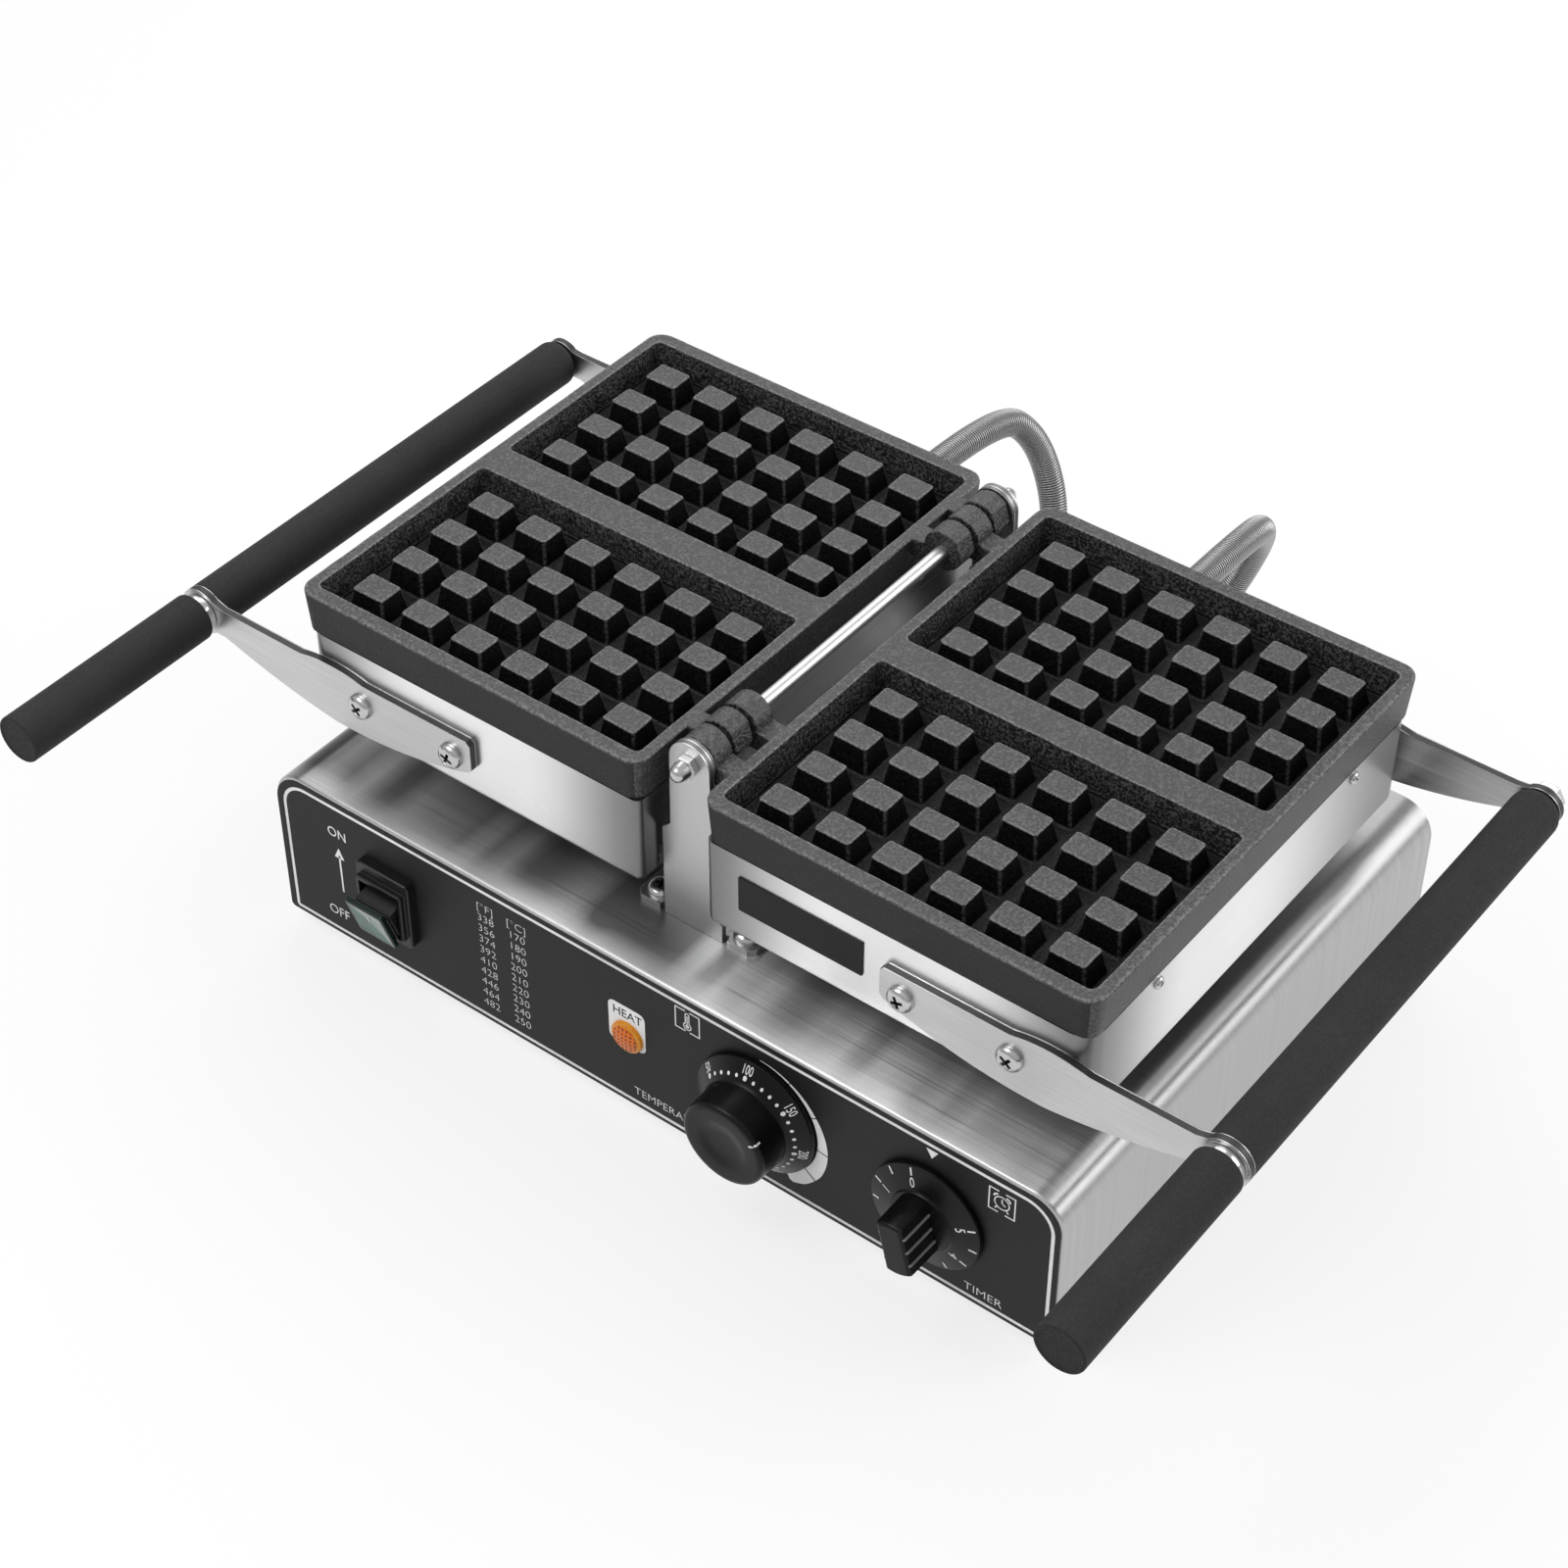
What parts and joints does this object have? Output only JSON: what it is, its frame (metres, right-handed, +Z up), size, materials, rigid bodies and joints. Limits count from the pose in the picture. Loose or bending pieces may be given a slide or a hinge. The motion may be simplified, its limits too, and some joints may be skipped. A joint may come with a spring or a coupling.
{
  "type": "double waffle maker",
  "caption": "Flat-opening waffle maker: two hinged cast grid plates with side handles over a sheet-steel base with power rocker, heat lamp, temperature knob and timer knob.",
  "frame": {"origin": "on the table, under the middle of the machine's whole box", "axes": "+X from the left plate to the right plate, +Y from the control panel to the back, +Z up"},
  "size_m": [0.538, 0.4668, 0.191],
  "materials": {
    "casing_steel": "brushed, near mirror",
    "housing_steel": "brushed along the sheet",
    "satin_steel": "satin",
    "bright_steel": "bright zinc or stainless",
    "clamp_steel": "plain sheet",
    "heater_sheath": "dull, heat-toned",
    "conduit_steel": "ribbed, bright",
    "gland_metal": "nickel plated",
    "grid_iron": "fine cast texture, coated",
    "grip_plastic": "matt black",
    "knob_plastic": "satin black with white marks",
    "black_plastic": "gloss black",
    "green_plastic": "clear green",
    "amber_plastic": "clear amber",
    "panel_film": "satin black with white marks",
    "terminal_plastic": "moulded",
    "insulation_wool": "pressed mineral wool",
    "foot_rubber": "matt black"
  },
  "bodies": {
    "base": {"base_shell": "casing_steel", "front_panel": "casing_steel", "control_film": "panel_film", "rear_panel": "casing_steel", "bottom_cover": "casing_steel", "cover_screws": "bright_steel", "rubber_feet": "foot_rubber", "terminal_block": "terminal_plastic", "front_hinge_bracket": "satin_steel", "rear_hinge_bracket": "satin_steel", "hinge_rod": "bright_steel", "hinge_fasteners": "bright_steel", "bracket_screws": "bright_steel", "base_glands": "gland_metal", "mains_gland": "gland_metal", "switch_bezel": "black_plastic", "lamp_lens": "amber_plastic", "lamp_body": "terminal_plastic", "thermostat": "terminal_plastic", "timer": "terminal_plastic", "left_conduit": "conduit_steel", "right_conduit": "conduit_steel"},
    "left_plate": {"left_grid_plate": "grid_iron", "left_grid_cubes": "grid_iron", "left_hinge_knuckles": "grid_iron", "left_housing": "housing_steel", "left_heater": "heater_sheath", "left_heater_clamp": "clamp_steel", "left_insulation": "insulation_wool", "left_plate_screws": "bright_steel", "left_front_arm": "satin_steel", "left_rear_arm": "satin_steel", "left_arm_screws": "bright_steel", "left_handle_rod": "bright_steel", "left_long_grip": "grip_plastic", "left_front_grip": "grip_plastic", "left_handle_nuts": "bright_steel", "left_plate_gland": "gland_metal"},
    "right_plate": {"right_grid_plate": "grid_iron", "right_grid_cubes": "grid_iron", "right_hinge_knuckles": "grid_iron", "right_housing": "housing_steel", "right_heater": "heater_sheath", "right_heater_clamp": "clamp_steel", "right_insulation": "insulation_wool", "right_plate_screws": "bright_steel", "right_front_arm": "satin_steel", "right_rear_arm": "satin_steel", "right_arm_screws": "bright_steel", "right_handle_rod": "bright_steel", "right_long_grip": "grip_plastic", "right_front_grip": "grip_plastic", "right_handle_nuts": "bright_steel", "right_plate_gland": "gland_metal", "badge_plate": "satin_steel"},
    "temperature_control": {"temperature_knob": "knob_plastic", "thermostat_shaft": "bright_steel"},
    "timer_control": {"timer_knob": "knob_plastic", "timer_shaft": "bright_steel"},
    "power_rocker": {"switch_rocker": "green_plastic"}
  },
  "joints": [
    {"name": "left_plate_hinge", "type": "hinge", "parent": "base", "child": "left_plate", "pos_m": [0, -0.00605, 0.181], "axis": [0, 1, 0], "range_deg": [0, 180], "deforming": ["left_conduit"]},
    {"name": "right_plate_hinge", "type": "hinge", "parent": "base", "child": "right_plate", "pos_m": [0, -0.00605, 0.181], "axis": [0, -1, 0], "range_deg": [0, 180], "deforming": ["right_conduit"]},
    {"name": "temperature_turn", "type": "hinge", "parent": "base", "child": "temperature_control", "pos_m": [0.059, -0.1449, 0.05], "axis": [0, 1, 0], "range_deg": [0, 270]},
    {"name": "timer_turn", "type": "hinge", "parent": "base", "child": "timer_control", "pos_m": [0.1437, -0.1449, 0.048], "axis": [0, 1, 0], "range_deg": [0, 300]},
    {"name": "power_rock", "type": "hinge", "parent": "base", "child": "power_rocker", "pos_m": [-0.141, -0.1449, 0.05], "axis": [-1, 0, 0], "range_deg": [0, 36]}
  ]
}
